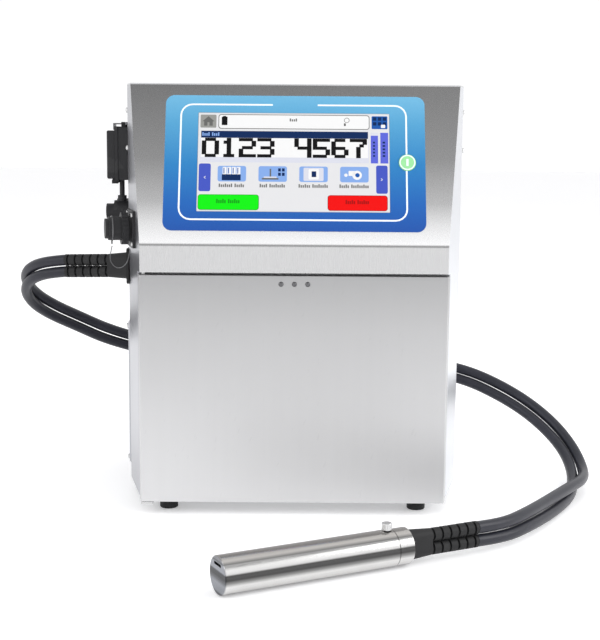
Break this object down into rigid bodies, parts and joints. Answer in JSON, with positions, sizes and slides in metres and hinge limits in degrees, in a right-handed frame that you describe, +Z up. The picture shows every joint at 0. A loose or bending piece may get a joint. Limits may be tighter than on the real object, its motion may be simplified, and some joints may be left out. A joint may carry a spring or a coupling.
{
  "type": "date code inkjet printer",
  "caption": "Free-standing stainless inkjet coder: leaning touch panel, hinged service door, side connectors and a tube printhead on a twin-hose umbilical.",
  "frame": {"origin": "on the floor, under the centre of everything but the cords", "axes": "+Z up, the door and the touch panel face -Y, the connectors are on the -X side"},
  "size_m": [0.7424, 0.6374, 0.507],
  "materials": {
    "steel": "vertical brushed stainless",
    "bright": "polished",
    "black_rubber": "matt moulded",
    "hose": "satin",
    "black_plastic": "fine moulded",
    "grey_plastic": "fine moulded",
    "white_plastic": "natural polyethylene",
    "blue_overlay": "printed film",
    "screen": "gloss",
    "green_button": "gloss",
    "circuit_board": "solder mask",
    "dark_metal": "satin",
    "head_steel": "satin"
  },
  "bodies": {
    "cabinet": {"back_panel": "steel", "base_pan": "steel", "button_switch": "black_plastic", "cabinet_strain_relief": "black_rubber", "cartridge_dock": "grey_plastic", "charge_electrode": "black_plastic", "connector_plate": "black_plastic", "deflector_plates": "head_steel", "display_module": "black_plastic", "door_frame": "steel", "door_hinge_brackets": "bright", "door_magnets": "dark_metal", "door_seal": "black_rubber", "drop_generator": "head_steel", "fan_frame": "black_plastic", "fan_guard": "bright", "foot_screws": "bright", "head_collar": "bright", "head_deck": "head_steel", "head_strain_relief": "black_rubber", "hood_panel": "steel", "ink_gutter": "head_steel", "ink_tank": "white_plastic", "ink_tubes": "white_plastic", "inlet_box_base": "black_plastic", "lanyard_front": "bright", "lanyard_rear": "bright", "lanyard_rings": "bright", "left_access_plate": "steel", "left_side_panel": "steel", "link_lead_plug": "black_plastic", "main_board": "circuit_board", "main_filter": "grey_plastic", "middle_shelf": "steel", "overlay_panel": "blue_overlay", "panel_screws": "bright", "power_supply": "dark_metal", "pump_head": "dark_metal", "pump_motor": "dark_metal", "right_side_panel": "steel", "rubber_feet": "black_rubber", "screen_glass": "screen", "side_connectors": "black_plastic", "top_cover": "steel", "umbilical_hose_a": "hose", "umbilical_hose_b": "hose", "umbilical_rest": "steel", "valve_manifold": "dark_metal"},
    "door": {"front_door": "steel", "door_studs": "bright"},
    "button": {"power_button": "green_button"},
    "inlet_cover": {"inlet_box_cover": "grey_plastic"},
    "latch": {"box_latch": "bright"},
    "front_cap": {"dust_cap_front": "black_plastic"},
    "rear_cap": {"dust_cap_rear": "black_plastic"},
    "fan": {"fan_rotor": "black_plastic"},
    "ink": {"ink_cartridge": "grey_plastic"},
    "solvent": {"solvent_cartridge": "grey_plastic"},
    "head_cover": {"head_cover_tube": "bright"},
    "thumbscrew": {"head_thumbscrew": "bright"}
  },
  "joints": [
    {"name": "door_hinge", "type": "hinge", "parent": "cabinet", "child": "door", "pos_m": [-0.13393, -0.02076, 0.15], "axis": [0, 0, -1], "range_deg": [0, 22]},
    {"name": "power_button_press", "type": "slide", "parent": "cabinet", "child": "button", "axis": [0, 0.9331, -0.3597], "range_m": [0, 0.0006], "stiffness_N_per_m": 1500, "springref_m": -0.0005},
    {"name": "inlet_cover_hinge", "type": "hinge", "parent": "cabinet", "child": "inlet_cover", "pos_m": [-0.18453, 0.12524, 0.3878], "axis": [0, -1, 0], "range_deg": [0, 100]},
    {"name": "box_latch_hinge", "type": "hinge", "parent": "cabinet", "child": "latch", "pos_m": [-0.17333, 0.12524, 0.4594], "axis": [0, 1, 0], "range_deg": [0, 90]},
    {"name": "dust_cap_front_turn", "type": "hinge", "parent": "cabinet", "child": "front_cap", "pos_m": [-0.15302, 0.03224, 0.335], "axis": [-0.9723, -0.2336, 0], "range_deg": [0, 90]},
    {"name": "dust_cap_rear_turn", "type": "hinge", "parent": "cabinet", "child": "rear_cap", "pos_m": [-0.16263, 0.16624, 0.35], "axis": [-1, 0, 0], "range_deg": [0, 90]},
    {"name": "fan_spin", "type": "hinge", "parent": "cabinet", "child": "fan", "pos_m": [-0.08863, 0.24024, 0.43], "axis": [0, 1, 0], "continuous": true},
    {"name": "ink_cartridge_lift", "type": "slide", "parent": "cabinet", "child": "ink", "axis": [0, 0, 1], "range_m": [0, 0.03]},
    {"name": "solvent_cartridge_lift", "type": "slide", "parent": "cabinet", "child": "solvent", "axis": [0, 0, 1], "range_m": [0, 0.03]},
    {"name": "head_cover_slide", "type": "slide", "parent": "cabinet", "child": "head_cover", "axis": [-0.8918, -0.4524, 0], "range_m": [0, 0.19]},
    {"name": "head_thumbscrew_turn", "type": "hinge", "parent": "head_cover", "child": "thumbscrew", "pos_m": [0.14025, -0.21421, 0.04], "axis": [0, 0, 1], "range_deg": [0, 180]}
  ]
}
